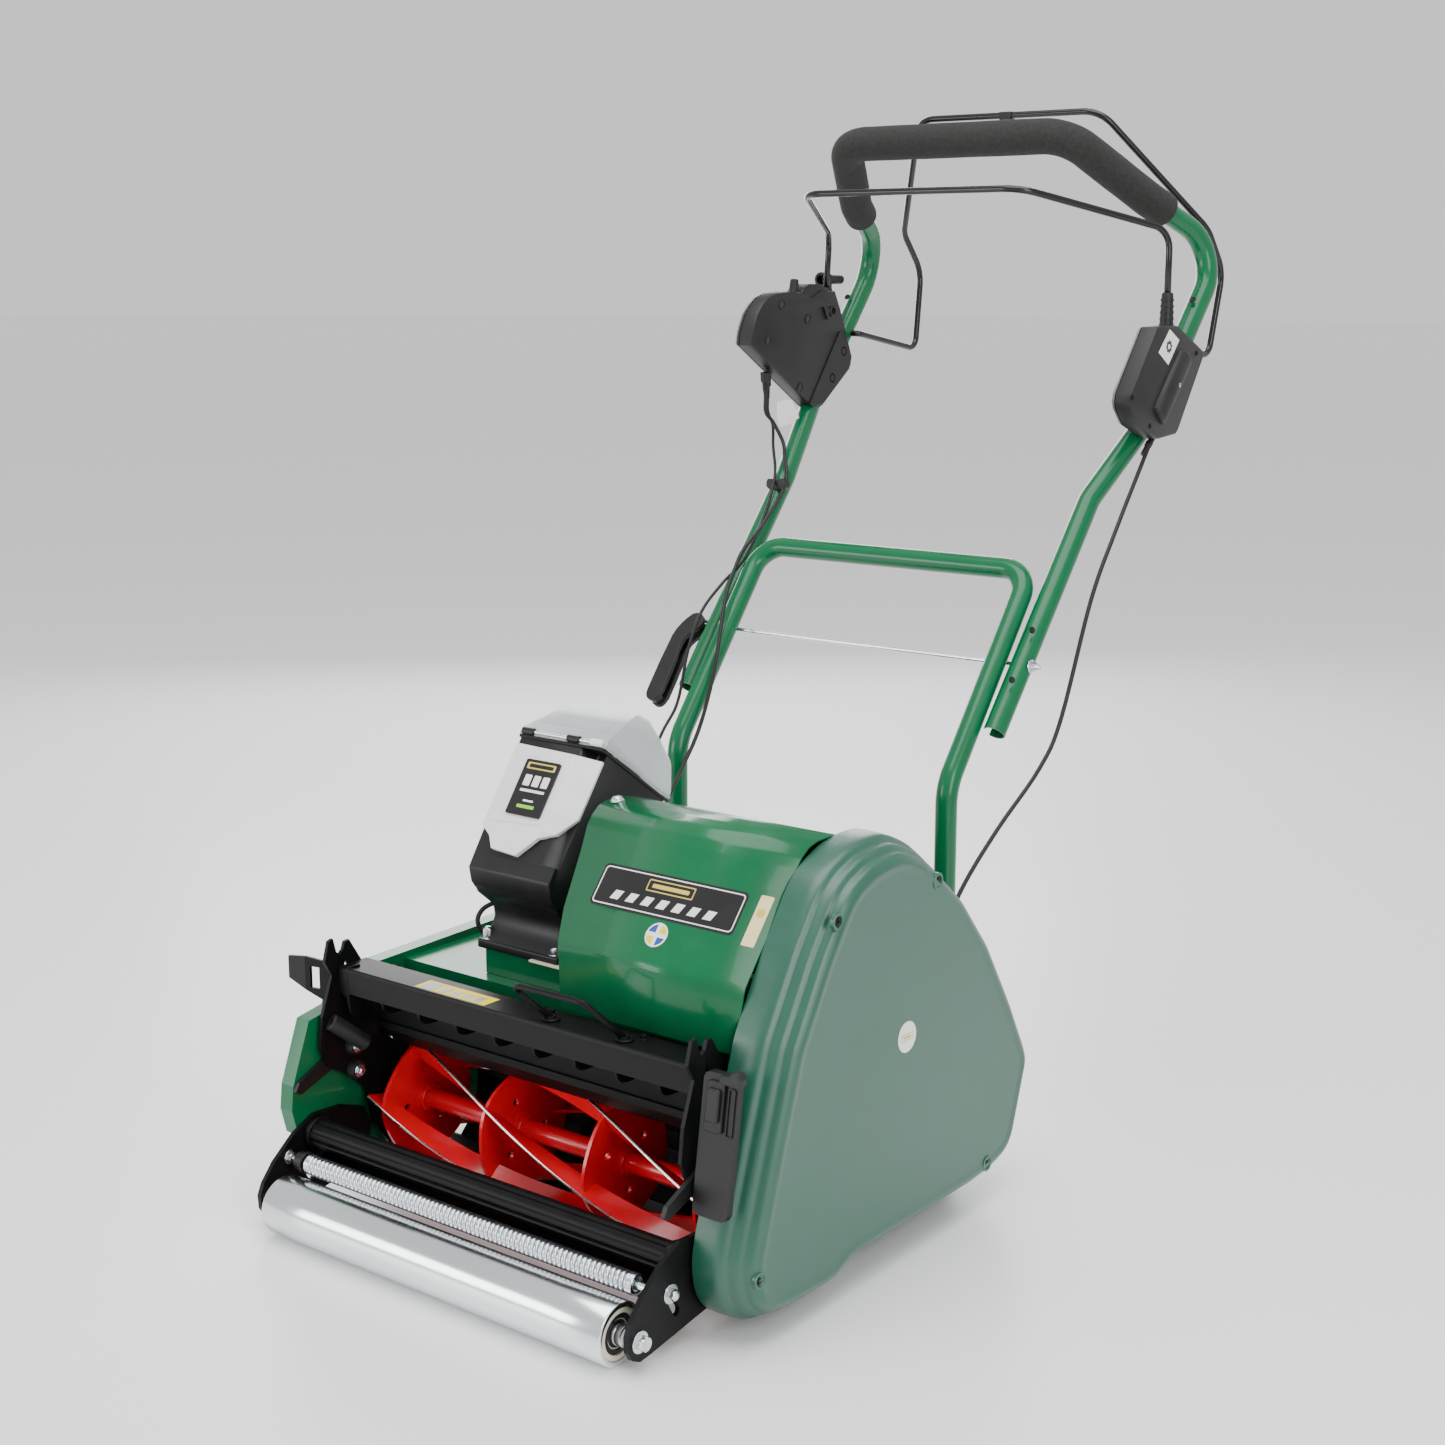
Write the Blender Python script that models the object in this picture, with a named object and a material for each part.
"""Battery cylinder mower: chassis, removable cutter cassette, rollers and folding handle.

Axes: +X towards the drive side, -Y to the front, +Z up.  The ground is Z = 0.
All dimensions below are layout millimetres, measured from the reel's housing.  They are moved
to ORIGIN, the ground line under the front roller, and scaled to metres when meshes are made.
"""
import math

import bpy
import bmesh
from mathutils import Vector
from mathutils.geometry import tessellate_polygon

MM = 0.001
ORIGIN = (0.0, -189.0, 0.0)    # ground line under the front roller, in layout coordinates

# ---- driving dimensions -------------------------------------------------------------
GAP = 0.4                      # clearance left between touching pieces
SHEET = 3.0                    # chassis steel thickness

SIDE_IN = 246.0                # inner face of each chassis side plate
SIDE_OUT = SIDE_IN + SHEET
DECK_Z = 235.0                 # top of the deck plate

ROLLER_Y, ROLLER_Z = -189.0, 30.0
ROLLER_R = 30.0
ROLLER_HALF = 224.0

REAR_Y, REAR_Z = 300.0, 80.0
REAR_R = 80.0
REAR_IN, REAR_OUT = 3.0, 226.0

REEL_Y, REEL_Z = 0.0, 90.0
REEL_R = 70.0                  # tip radius of the blades
REEL_HALF = 228.0
REEL_TWIST = math.radians(0.322)   # helix, radians per millimetre of width
REEL_START = math.radians(96.3)   # angle of the first blade at mid width
BLADES = 5
BLADE_T = 3.0
BLADE_IN = 49.0                # inner radius of a blade
DISC_R = 65.0
DISC_X = (-208.0, -69.5, 69.5, 208.0)

PLATE_IN, PLATE_OUT = 236.0, 240.0     # cassette end plates
BRACKET_IN, BRACKET_OUT = 240.6, 245.6   # front roller brackets

COVER_IN, COVER_OUT = 249.5, 309.0     # drive cover from its rim to its flat panel

TUBE_R = 12.5                  # upper handle tube
LOWER_R = 12.0                 # lower handle tube
LOWER_X = 186.0
PIVOT_Y, PIVOT_Z = 505.0, 533.0        # cross rod that joins the two handle parts

BAT_X0, BAT_X1 = -150.0, -38.0
BAT_Y, BAT_Z = 95.0, 477.0             # front edge of the battery rim
BAT_TILT = math.radians(35.5)

# ---- clean scene --------------------------------------------------------------------
for old in list(bpy.data.objects):
    bpy.data.objects.remove(old, do_unlink=True)


# ---- materials ----------------------------------------------------------------------
def material(name, rgb, rough, metal=0.0):
    mat = bpy.data.materials.new(name)
    mat.use_nodes = True
    node = mat.node_tree.nodes["Principled BSDF"]
    node.inputs["Base Color"].default_value = (rgb[0], rgb[1], rgb[2], 1.0)
    node.inputs["Roughness"].default_value = rough
    node.inputs["Metallic"].default_value = metal
    return mat


GREEN = (0.0, 0.13, 0.06)
BLACK = (0.012, 0.012, 0.013)
RED = (0.8, 0.0, 0.005)
STEEL = (0.62, 0.63, 0.64)
SILVER = (0.6, 0.62, 0.63)
LID = (0.72, 0.78, 0.8)

FINISH = {
    "green": (GREEN, 0.3, 0.0),
    "green_plastic": ((0.01, 0.1, 0.055), 0.4, 0.0),
    "black_paint": (BLACK, 0.4, 0.0),
    "black_plastic": (BLACK, 0.55, 0.0),
    "rubber": (BLACK, 0.9, 0.0),
    "foam": ((0.03, 0.03, 0.03), 0.95, 0.0),
    "red": (RED, 0.35, 0.0),
    "zinc": (STEEL, 0.3, 1.0),
    "steel": ((0.5, 0.5, 0.5), 0.35, 1.0),
    "silver": (SILVER, 0.35, 0.0),
    "lid": (LID, 0.2, 0.0),
}


def finish(obj, kind):
    rgb, rough, metal = FINISH[kind]
    obj.data.materials.clear()
    obj.data.materials.append(material(obj.name + "_mat", rgb, rough, metal))


# ---- frames of the moving groups ----------------------------------------------------
def empty(name, at, parent=None):
    obj = bpy.data.objects.new(name, None)
    bpy.context.collection.objects.link(obj)
    base = origin_of(parent)
    obj.location = [(at[i] - base[i]) * MM for i in range(3)]
    obj.parent = parent
    return obj


def origin_of(parent):
    """Layout position of a parent empty, or of the frame's origin."""
    total = list(ORIGIN)
    while parent is not None:
        for i in range(3):
            total[i] += parent.location[i] / MM
        parent = parent.parent
    return total


def attach(obj, parent):
    if parent is not None:
        obj.parent = parent


# ---- mesh builders ------------------------------------------------------------------
def solid(name, kind, verts, faces, parent=None, smooth=False, angle=40.0):
    """One closed body from vertices in world millimetres."""
    base = origin_of(parent)
    bm = bmesh.new()
    made = []
    for v in verts:
        made.append(bm.verts.new([(v[i] - base[i]) * MM for i in range(3)]))
    for f in faces:
        bm.faces.new([made[i] for i in f])
    bmesh.ops.recalc_face_normals(bm, faces=bm.faces)
    if smooth:
        limit = math.radians(angle)
        for face in bm.faces:
            face.smooth = True
        for edge in bm.edges:
            edge.smooth = edge.calc_face_angle(0.0) < limit
    mesh = bpy.data.meshes.new(name)
    bm.to_mesh(mesh)
    bm.free()
    obj = bpy.data.objects.new(name, mesh)
    bpy.context.collection.objects.link(obj)
    attach(obj, parent)
    finish(obj, kind)
    return obj


def along(axis, u, v, w):
    """Map plane coordinates (u, v) and a height w to layout axes, or by a given mapping."""
    if callable(axis):
        return axis(u, v, w)
    if axis == "X":
        return (w, u, v)
    if axis == "Y":
        return (u, w, v)
    return (u, v, w)


def prism(name, kind, loops, w0, w1, axis="X", parent=None, smooth=False, bevel=0.0):
    """Plate or block: an outline with holes, extruded between two heights."""
    flat = [p for loop in loops for p in loop]
    tris = tessellate_polygon([[(p[0], p[1], 0.0) for p in loop] for loop in loops])
    n = len(flat)
    verts = [along(axis, p[0], p[1], w0) for p in flat]
    verts += [along(axis, p[0], p[1], w1) for p in flat]
    faces = [tuple(t) for t in tris]
    faces += [tuple(i + n for i in reversed(t)) for t in tris]
    start = 0
    for loop in loops:
        size = len(loop)
        for i in range(size):
            a = start + i
            b = start + (i + 1) % size
            faces.append((a, b, b + n, a + n))
        start += size
    obj = solid(name, kind, verts, faces, parent, smooth)
    if bevel > 0.0:
        round_edges(obj, bevel)
    return obj


def round_edges(obj, width, segments=2, angle=40.0):
    mod = obj.modifiers.new("edge_round", "BEVEL")
    mod.width = width * MM
    mod.segments = segments
    mod.limit_method = "ANGLE"
    mod.angle_limit = math.radians(angle)
    mod.harden_normals = False
    return mod


def block(name, kind, lo, hi, parent=None, bevel=0.0):
    loop = [(lo[0], lo[1]), (hi[0], lo[1]), (hi[0], hi[1]), (lo[0], hi[1])]
    return prism(name, kind, [loop], lo[2], hi[2], "Z", parent, False, bevel)


def ring_points(cy, cz, radius, count, start=0.0):
    step = 2.0 * math.pi / count
    return [(cy + radius * math.cos(start + i * step), cz + radius * math.sin(start + i * step))
            for i in range(count)]


def lathe(name, kind, profile, cy, cz, count=32, parent=None, closed=False, axis="X",
          flat=False):
    """Revolve (along, radius) points about an axis.  closed joins the last to the first.

    flat turns the sides so that the radius is the distance to a level facet underneath.
    """
    start = math.pi / count - math.pi / 2.0 if flat else 0.0
    grow = 1.0 / math.cos(math.pi / count) if flat else 1.0
    verts = []
    faces = []
    rings = []
    for w, radius in profile:
        if radius < 1e-6:
            rings.append([len(verts)])
            verts.append(along(axis, cy, cz, w))
            continue
        rings.append(list(range(len(verts), len(verts) + count)))
        for u, v in ring_points(cy, cz, radius * grow, count, start):
            verts.append(along(axis, u, v, w))
    pairs = list(zip(rings, rings[1:]))
    if closed:
        pairs.append((rings[-1], rings[0]))
    for a, b in pairs:
        for i in range(count):
            j = (i + 1) % count
            if len(a) == 1 and len(b) == 1:
                continue
            if len(a) == 1:
                faces.append((a[0], b[i], b[j]))
            elif len(b) == 1:
                faces.append((a[i], b[0], a[j]))
            else:
                faces.append((a[i], b[i], b[j], a[j]))
    return solid(name, kind, verts, faces, parent, True)


def rod(name, kind, x0, x1, cy, cz, radius, count=20, parent=None, chamfer=0.6):
    profile = [(x0, 0.0), (x0, radius - chamfer), (x0 + chamfer, radius),
               (x1 - chamfer, radius), (x1, radius - chamfer), (x1, 0.0)]
    return lathe(name, kind, profile, cy, cz, count, parent)


def pipe(name, kind, x0, x1, cy, cz, r_in, r_out, count=32, parent=None, chamfer=0.6):
    profile = [(x0, r_in), (x0, r_out - chamfer), (x0 + chamfer, r_out),
               (x1 - chamfer, r_out), (x1, r_out - chamfer), (x1, r_in)]
    return lathe(name, kind, profile, cy, cz, count, parent, True)


def fillet_path(points, radii, steps=5):
    """Round the inner corners of a polyline with arcs."""
    out = [points[0]]
    for i in range(1, len(points) - 1):
        p0, p1, p2 = points[i - 1], points[i], points[i + 1]
        a = [p0[k] - p1[k] for k in range(3)]
        b = [p2[k] - p1[k] for k in range(3)]
        la = math.sqrt(sum(v * v for v in a))
        lb = math.sqrt(sum(v * v for v in b))
        a = [v / la for v in a]
        b = [v / lb for v in b]
        dot = max(-1.0, min(1.0, sum(a[k] * b[k] for k in range(3))))
        half = math.acos(dot) / 2.0
        radius = radii[i - 1]
        if radius <= 0.0 or abs(half - math.pi / 2.0) < 0.01:
            out.append(p1)
            continue
        reach = min(radius / math.tan(half), 0.48 * la, 0.48 * lb)
        radius = reach * math.tan(half)
        mid = [a[k] + b[k] for k in range(3)]
        lm = math.sqrt(sum(v * v for v in mid))
        centre = [p1[k] + mid[k] / lm * radius / math.sin(half) for k in range(3)]
        first = [p1[k] + a[k] * reach - centre[k] for k in range(3)]
        last = [p1[k] + b[k] * reach - centre[k] for k in range(3)]
        swing = math.pi - 2.0 * half
        for s in range(steps + 1):
            t = s / steps
            k0 = math.sin((1.0 - t) * swing) / math.sin(swing)
            k1 = math.sin(t * swing) / math.sin(swing)
            out.append([centre[k] + first[k] * k0 + last[k] * k1 for k in range(3)])
    out.append(points[-1])
    return out


def wire(name, kind, points, radius, parent=None, resolution=2):
    """Round bar along a polyline, capped at both ends."""
    base = origin_of(parent)
    curve = bpy.data.curves.new(name, "CURVE")
    curve.dimensions = "3D"
    curve.bevel_depth = radius * MM
    curve.bevel_resolution = resolution
    curve.use_fill_caps = True
    curve.resolution_u = 1
    spline = curve.splines.new("POLY")
    spline.points.add(len(points) - 1)
    for i, p in enumerate(points):
        spline.points[i].co = [(p[k] - base[k]) * MM for k in range(3)] + [1.0]
    spline.use_smooth = True
    obj = bpy.data.objects.new(name, curve)
    bpy.context.collection.objects.link(obj)
    attach(obj, parent)
    finish(obj, kind)
    return obj


def transport_frames(points):
    """Section axes carried along a polyline without twisting."""
    n = len(points)
    vecs = [Vector(p) for p in points]
    frames = []
    normal = None
    for i in range(n):
        ahead = (vecs[i + 1] - vecs[i]).normalized() if i < n - 1 else None
        behind = (vecs[i] - vecs[i - 1]).normalized() if i > 0 else None
        if ahead is None:
            tangent = behind
        elif behind is None:
            tangent = ahead
        else:
            tangent = (ahead + behind).normalized()
        if normal is None:
            normal = tangent.cross(Vector((1.0, 0.0, 0.0))).normalized()
        normal = (normal - tangent * normal.dot(tangent)).normalized()
        across = tangent.cross(normal)
        stretch = 1.0
        if ahead is not None and behind is not None:
            stretch = 1.0 / max(0.5, math.cos(ahead.angle(behind) / 2.0))
        frames.append((vecs[i], normal.copy(), across, stretch, ahead, behind))
    return frames


def sweep(name, kind, points, radius, parent=None, sides=10, first=0, last=None, bore=0.0):
    """Round tube or bar swept along a polyline; bore > 0 leaves it hollow."""
    frames = transport_frames(points)
    last = len(points) if last is None else last
    verts = []
    rings = []
    for p, normal, across, stretch, ahead, behind in frames[first:last]:
        bend = None
        if ahead is not None and behind is not None and ahead.angle(behind) > 1e-4:
            bend = (ahead - behind).normalized()
        for r in ([radius, bore] if bore > 0.0 else [radius]):
            for k in range(sides):
                a = 2.0 * math.pi * k / sides
                d = normal * math.cos(a) + across * math.sin(a)
                if bend is not None:
                    d = d + bend * d.dot(bend) * (stretch - 1.0)
                q = p + d * r
                verts.append((q.x, q.y, q.z))
        rings.append(len(rings))
    per = sides * (2 if bore > 0.0 else 1)
    faces = []
    for s in range(len(rings) - 1):
        for k in range(sides):
            m = (k + 1) % sides
            a = s * per
            b = a + per
            faces.append((a + k, a + m, b + m, b + k))
            if bore > 0.0:
                faces.append((a + sides + m, a + sides + k, b + sides + k, b + sides + m))
    end = (len(rings) - 1) * per
    if bore > 0.0:
        for k in range(sides):
            m = (k + 1) % sides
            faces.append((k, sides + k, sides + m, m))
            faces.append((end + k, end + m, end + sides + m, end + sides + k))
    else:
        faces.append(tuple(range(sides)))
        faces.append(tuple(end + k for k in reversed(range(sides))))
    return solid(name, kind, verts, faces, parent, True, 60.0)


def cut(obj, cutter):
    """Subtract a hidden cutter from a body."""
    cutter.hide_render = True
    cutter.display_type = "WIRE"
    mod = obj.modifiers.new("cut_" + cutter.name, "BOOLEAN")
    mod.operation = "DIFFERENCE"
    mod.solver = "EXACT"
    mod.object = cutter
    return mod


def join(obj, other):
    """Fuse a hidden helper shape into a body."""
    mod = cut(obj, other)
    mod.operation = "UNION"


def mirror_x(points):
    return [(-p[0], p[1], p[2]) for p in points]


def sheet(name, kind, verts, faces, thickness, offset, parent=None, smooth=False, angle=50.0):
    """Open surface thickened into one closed shell."""
    obj = solid(name, kind, verts, faces, parent, smooth, angle)
    mod = obj.modifiers.new("thickness", "SOLIDIFY")
    mod.thickness = thickness * MM
    mod.offset = offset
    mod.use_even_offset = True
    return obj


# =====================================================================================
# chassis
# =====================================================================================
SIDE_OUTLINE = [
    (-155.0, 112.0), (-152.0, 138.0), (-128.0, 202.0), (-94.0, 208.0), (-86.0, 240.0),
    (150.0, 244.0), (340.0, 244.0), (374.0, 286.0), (384.0, 296.0), (412.0, 296.0),
    (420.0, 288.0), (420.0, 190.0), (404.0, 120.0), (352.0, 56.0), (320.0, 44.0),
    (60.0, 40.0), (-20.0, 34.0), (-110.0, 46.0), (-148.0, 84.0),
]
REEL_SLOT_R = 20.0
AXLE_BOSS_R = 9.0


MOTOR_Y, MOTOR_Z = 150.0, 300.0
MOTOR_SHAFT_HOLE_R = 12.0
RIGHT_FRONT = [(-113.0, 62.0), (-112.0, 98.0), (-84.0, 186.0), (-66.0, 240.0)]
MOTOR_EAR = [(90.0, 244.0), (96.0, 340.0), (116.0, 356.0), (184.0, 356.0), (204.0, 340.0),
             (214.0, 244.0)]
RIGHT_REAR = [(298.0, 244.0), (332.0, 236.0), (362.0, 194.0), (382.0, 168.0), (402.0, 164.0),
              (410.0, 156.0), (411.0, 144.0)]


def side_plate_right():
    outline = RIGHT_FRONT + MOTOR_EAR + RIGHT_REAR + SIDE_OUTLINE[12:-2]
    loops = [
        outline,
        ring_points(REEL_Y, REEL_Z, REEL_SLOT_R, 16),
        ring_points(MOTOR_Y, MOTOR_Z, MOTOR_SHAFT_HOLE_R, 12),
        ring_points(REAR_Y, REAR_Z, AXLE_BOSS_R, 12),
    ]
    return prism("side_plate_right", "green", loops, SIDE_IN, SIDE_OUT, "X")


FLANGE_W = 15.0                # outward lip along the left side plate
LIP_T = 2.5
LIP_PATH = SIDE_OUTLINE[-1:] + SIDE_OUTLINE[:6] + [(336.0, 244.0)]


def offset_path(path, distance):
    """Copy of an open path moved sideways to its right."""
    out = []
    for i, p in enumerate(path):
        q0 = path[max(0, i - 1)]
        q1 = path[min(len(path) - 1, i + 1)]
        length = math.hypot(q1[0] - q0[0], q1[1] - q0[1])
        out.append((p[0] + (q1[1] - q0[1]) / length * distance,
                    p[1] - (q1[0] - q0[0]) / length * distance))
    return out


def side_plate_left():
    """Side plate whose front and top edges are folded outwards into a stiff lip."""
    loops = [SIDE_OUTLINE, ring_points(REEL_Y, REEL_Z, REEL_SLOT_R, 16)]
    plate = prism("side_plate_left", "green", loops, -SIDE_OUT, -SIDE_IN, "X")
    strip = LIP_PATH + offset_path(LIP_PATH, LIP_T)[::-1]
    lip = prism("side_lip", "green", [strip], -SIDE_OUT - FLANGE_W, -SIDE_OUT + 1.0, "X")
    join(plate, lip)


DECK_FRONT, DECK_REAR = 8.0, 232.0


def deck_plate():
    """Deck with a turned-down lip front and rear."""
    loop = [(DECK_FRONT, 205.0), (DECK_FRONT + SHEET, 205.0), (DECK_FRONT + SHEET, DECK_Z - SHEET),
            (DECK_REAR - SHEET, DECK_Z - SHEET), (DECK_REAR - SHEET, 190.0), (DECK_REAR, 190.0),
            (DECK_REAR, DECK_Z), (DECK_FRONT, DECK_Z)]
    half = SIDE_IN - GAP
    return prism("deck_plate", "green", [loop], -half, half, "X")


BONNET_PROFILE = [
    (-56.0, 258.0), (-41.0, 316.0), (-18.0, 344.0), (22.0, 392.0), (38.0, 412.0), (46.0, 421.0),
    (58.0, 429.0), (72.0, 432.0), (92.0, 432.0), (112.0, 428.0), (170.0, 400.0), (226.0, 330.0),
    (240.0, 300.0), (240.0, 246.0),
]
BONNET_LEFT = [38.0, 22.0, 10.0, -2.0, -8.0, -9.0, -10.0, -10.0, -10.0, -10.0, -10.0, -10.0,
               -10.0, -10.0]
BONNET_RIGHT = 249.1


def bonnet():
    """Folded sheet hood over the motor, open towards the deck and the drive side."""
    verts = []
    for (y, z), x in zip(BONNET_PROFILE, BONNET_LEFT):
        verts.append((x, y, z))
    count = len(BONNET_PROFILE)
    for y, z in BONNET_PROFILE:
        verts.append((BONNET_RIGHT, y, z))
    faces = [(i, i + 1, count + i + 1, count + i) for i in range(count - 1)]
    low = len(verts)
    verts.append((24.0, 20.0, DECK_Z + 3.0))
    cheek = list(range(1, count))
    faces.append(tuple(reversed(cheek + [low])))
    return sheet("bonnet", "green", verts, faces, 2.0, 0.0, None, True, 30.0)


# drive cover outline, clockwise from the lower front
COVER_OUTLINE = [
    (-92.0, 22.0), (-106.0, 34.0), (-115.0, 50.0), (-119.0, 68.0), (-119.0, 86.0), (-116.0, 99.0),
    (-87.0, 188.0), (-57.0, 277.0), (-35.0, 314.0), (-13.0, 351.0), (18.0, 394.0), (30.0, 407.0),
    (46.0, 418.0), (75.0, 429.0), (104.0, 433.0), (130.0, 433.0), (150.0, 427.0), (178.0, 414.0),
    (206.0, 394.0), (253.0, 355.0), (304.0, 296.0), (352.0, 222.0), (386.0, 162.0), (392.0, 146.0),
    (391.0, 130.0), (366.0, 56.0), (352.0, 38.0), (332.0, 28.0), (300.0, 22.0), (268.0, 20.0),
    (160.0, 20.0), (64.0, 20.0), (50.0, 18.0), (36.0, 10.0), (14.0, 8.0), (-54.0, 10.0),
    (-76.0, 14.0),
]
COVER_STEPS = [
    (COVER_IN, 0.0), (280.0, 1.0), (285.0, 7.0), (297.0, 9.0), (302.0, 16.0), (COVER_OUT, 22.0),
]
COVER_WALL = 4.0


def inset_loop(loop, distance):
    """Move every edge of a closed outline inwards and intersect the neighbours."""
    area = 0.0
    n = len(loop)
    for i in range(n):
        p, q = loop[i], loop[(i + 1) % n]
        area += p[0] * q[1] - q[0] * p[1]
    turn = 1.0 if area > 0.0 else -1.0
    out = []
    for i in range(n):
        p0, p1, p2 = loop[i - 1], loop[i], loop[(i + 1) % n]
        a = (p1[0] - p0[0], p1[1] - p0[1])
        b = (p2[0] - p1[0], p2[1] - p1[1])
        la = math.hypot(a[0], a[1])
        lb = math.hypot(b[0], b[1])
        na = (-a[1] / la * turn, a[0] / la * turn)
        nb = (-b[1] / lb * turn, b[0] / lb * turn)
        mid = (na[0] + nb[0], na[1] + nb[1])
        scale = distance * 2.0 / (mid[0] ** 2 + mid[1] ** 2)
        out.append((p1[0] + mid[0] * scale, p1[1] + mid[1] * scale))
    return out


def drive_cover():
    verts = []
    faces = []
    n = len(COVER_OUTLINE)
    for x, d in COVER_STEPS:
        for y, z in inset_loop(COVER_OUTLINE, d):
            verts.append((x, y, z))
    for k in range(len(COVER_STEPS) - 1):
        for i in range(n):
            j = (i + 1) % n
            faces.append((k * n + i, k * n + j, (k + 1) * n + j, (k + 1) * n + i))
    last = (len(COVER_STEPS) - 1) * n
    cap = tessellate_polygon([[(v[1], v[2], 0.0) for v in verts[last:]]])
    faces += [tuple(last + i for i in tri) for tri in cap]
    obj = sheet("drive_cover", "green_plastic", verts, faces, COVER_WALL, -1.0, None, True, 60.0)
    return obj


side_plate_left()
side_plate_right()
deck_plate()
bonnet()
drive_cover()

CROSS_HALF = SIDE_IN - GAP
pipe("rear_cross_tube", "green", -CROSS_HALF, CROSS_HALF, 396.0, 150.0, 9.0, LOWER_R, 16)

# ---- motor and drive train ----------------------------------------------------------
MOTOR_R = 42.0
MOTOR_X0, MOTOR_X1 = 60.0, 200.0
lathe("motor", "black_paint",
      [(MOTOR_X0, 0.0), (MOTOR_X0, MOTOR_R - 4.0), (MOTOR_X0 + 4.0, MOTOR_R),
       (MOTOR_X1 - 4.0, MOTOR_R), (MOTOR_X1, MOTOR_R - 4.0), (MOTOR_X1, 30.0),
       (SIDE_IN - GAP, 30.0), (SIDE_IN - GAP, 0.0)],
      MOTOR_Y, MOTOR_Z, 20)

BELT_X0, BELT_X1 = 258.0, 268.0          # cutter belt
BELT2_X0, BELT2_X1 = 274.0, 284.0        # roller belt
PULLEY_M_R, PULLEY_R_R, PULLEY_A_R = 17.0, 30.0, 38.0

motor_spin = empty("motor_axis", (0.0, MOTOR_Y, MOTOR_Z))
reel_spin = empty("reel_axis", (0.0, REEL_Y, REEL_Z))
rear_spin = empty("rear_axis", (0.0, REAR_Y, REAR_Z))


def pulley(name, x0, x1, cy, cz, radius, parent, hub_x0, hub_r):
    """Flanged belt wheel with a hub that reaches inboard."""
    rim = radius + 3.5
    profile = [
        (hub_x0, 0.0), (hub_x0, hub_r), (x0 - 1.5, hub_r), (x0 - 1.5, rim), (x0, radius),
        (x1, radius), (x1 + 1.5, rim), (x1 + 1.5, 0.0),
    ]
    return lathe(name, "steel", profile, cy, cz, 16, parent)


pulley("motor_pulley", BELT_X0, BELT2_X1, MOTOR_Y, MOTOR_Z, PULLEY_M_R, motor_spin,
       SIDE_IN, 8.0)
pulley("reel_pulley", BELT_X0, BELT_X1, REEL_Y, REEL_Z, PULLEY_R_R, reel_spin, 242.0, 12.0)
pulley("roller_pulley", BELT2_X0, BELT2_X1, REAR_Y, REAR_Z, PULLEY_A_R, rear_spin, 242.0, 7.0)


def belt_loop(ca, ra, cb, rb, count=12):
    """Outline of a belt round two wheels."""
    dy, dz = cb[0] - ca[0], cb[1] - ca[1]
    dist = math.hypot(dy, dz)
    base = math.atan2(dz, dy)
    lean = math.acos((ra - rb) / dist)
    out = []
    for i in range(count + 1):
        ang = base + lean + (2.0 * math.pi - 2.0 * lean) * i / count
        out.append((ca[0] + ra * math.cos(ang), ca[1] + ra * math.sin(ang)))
    for i in range(count + 1):
        ang = base - lean + 2.0 * lean * i / count
        out.append((cb[0] + rb * math.cos(ang), cb[1] + rb * math.sin(ang)))
    return out


def belt(name, x0, x1, ca, ra, cb, rb):
    inner = belt_loop(ca, ra + 0.7, cb, rb + 0.7)
    outer = belt_loop(ca, ra + 3.2, cb, rb + 3.2)
    return prism(name, "rubber", [outer, inner], x0 + 0.8, x1 - 0.8, "X")


belt("cutter_belt", BELT_X0, BELT_X1, (MOTOR_Y, MOTOR_Z), PULLEY_M_R, (REEL_Y, REEL_Z), PULLEY_R_R)
belt("roller_belt", BELT2_X0, BELT2_X1, (MOTOR_Y, MOTOR_Z), PULLEY_M_R, (REAR_Y, REAR_Z),
     PULLEY_A_R)

# ---- rear roller --------------------------------------------------------------------
rod("rear_axle", "steel", -SIDE_IN + GAP, SIDE_IN - 5.0, REAR_Y, REAR_Z, 10.0, 16)


def rear_roller(name, x0, x1):
    """Half of the split traction roller: a drum on a bored hub."""
    profile = [(x0, 10.5), (x0, REAR_R - 3.0), (x0 + 3.0, REAR_R), (x1 - 3.0, REAR_R),
               (x1, REAR_R - 3.0), (x1, 10.5)]
    return lathe(name, "rubber", profile, REAR_Y, REAR_Z, 32, rear_spin, True, "X", True)


rear_roller("rear_roller_left", -REAR_OUT, -REAR_IN)
rear_roller("rear_roller_right", REAR_IN, REAR_OUT)

# =====================================================================================
# battery
# =====================================================================================
C35, S35 = math.cos(BAT_TILT), math.sin(BAT_TILT)


def tilt(u, v):
    """Battery coordinates: u back along the rim, v up out of the well."""
    return (BAT_Y + C35 * u + S35 * v, BAT_Z - S35 * u + C35 * v)


SLAB_Z0, SLAB_Z1 = 262.0, 272.0
block("battery_plinth", "green", (-142.0, 26.0, DECK_Z + GAP), (-26.0, 150.0, SLAB_Z0 - GAP))


def battery_housing():
    """Open-topped well on a waisted foot and a flat base."""
    outer = [(0.0, 0.0), (124.0, 0.0), (124.0, -92.0), (70.0, -140.0)]
    body = [tilt(u, v) for u, v in outer]
    body += [(118.0, 300.0), (118.0, SLAB_Z1), (142.0, SLAB_Z1), (142.0, SLAB_Z0),
             (22.0, SLAB_Z0), (22.0, SLAB_Z1), (42.0, SLAB_Z1), (40.0, 296.0), (24.0, 322.0),
             (14.0, 336.0), (11.0, 352.0), (20.0, 366.0), (36.0, 390.0)]
    return body


HOUSING = battery_housing()


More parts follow.
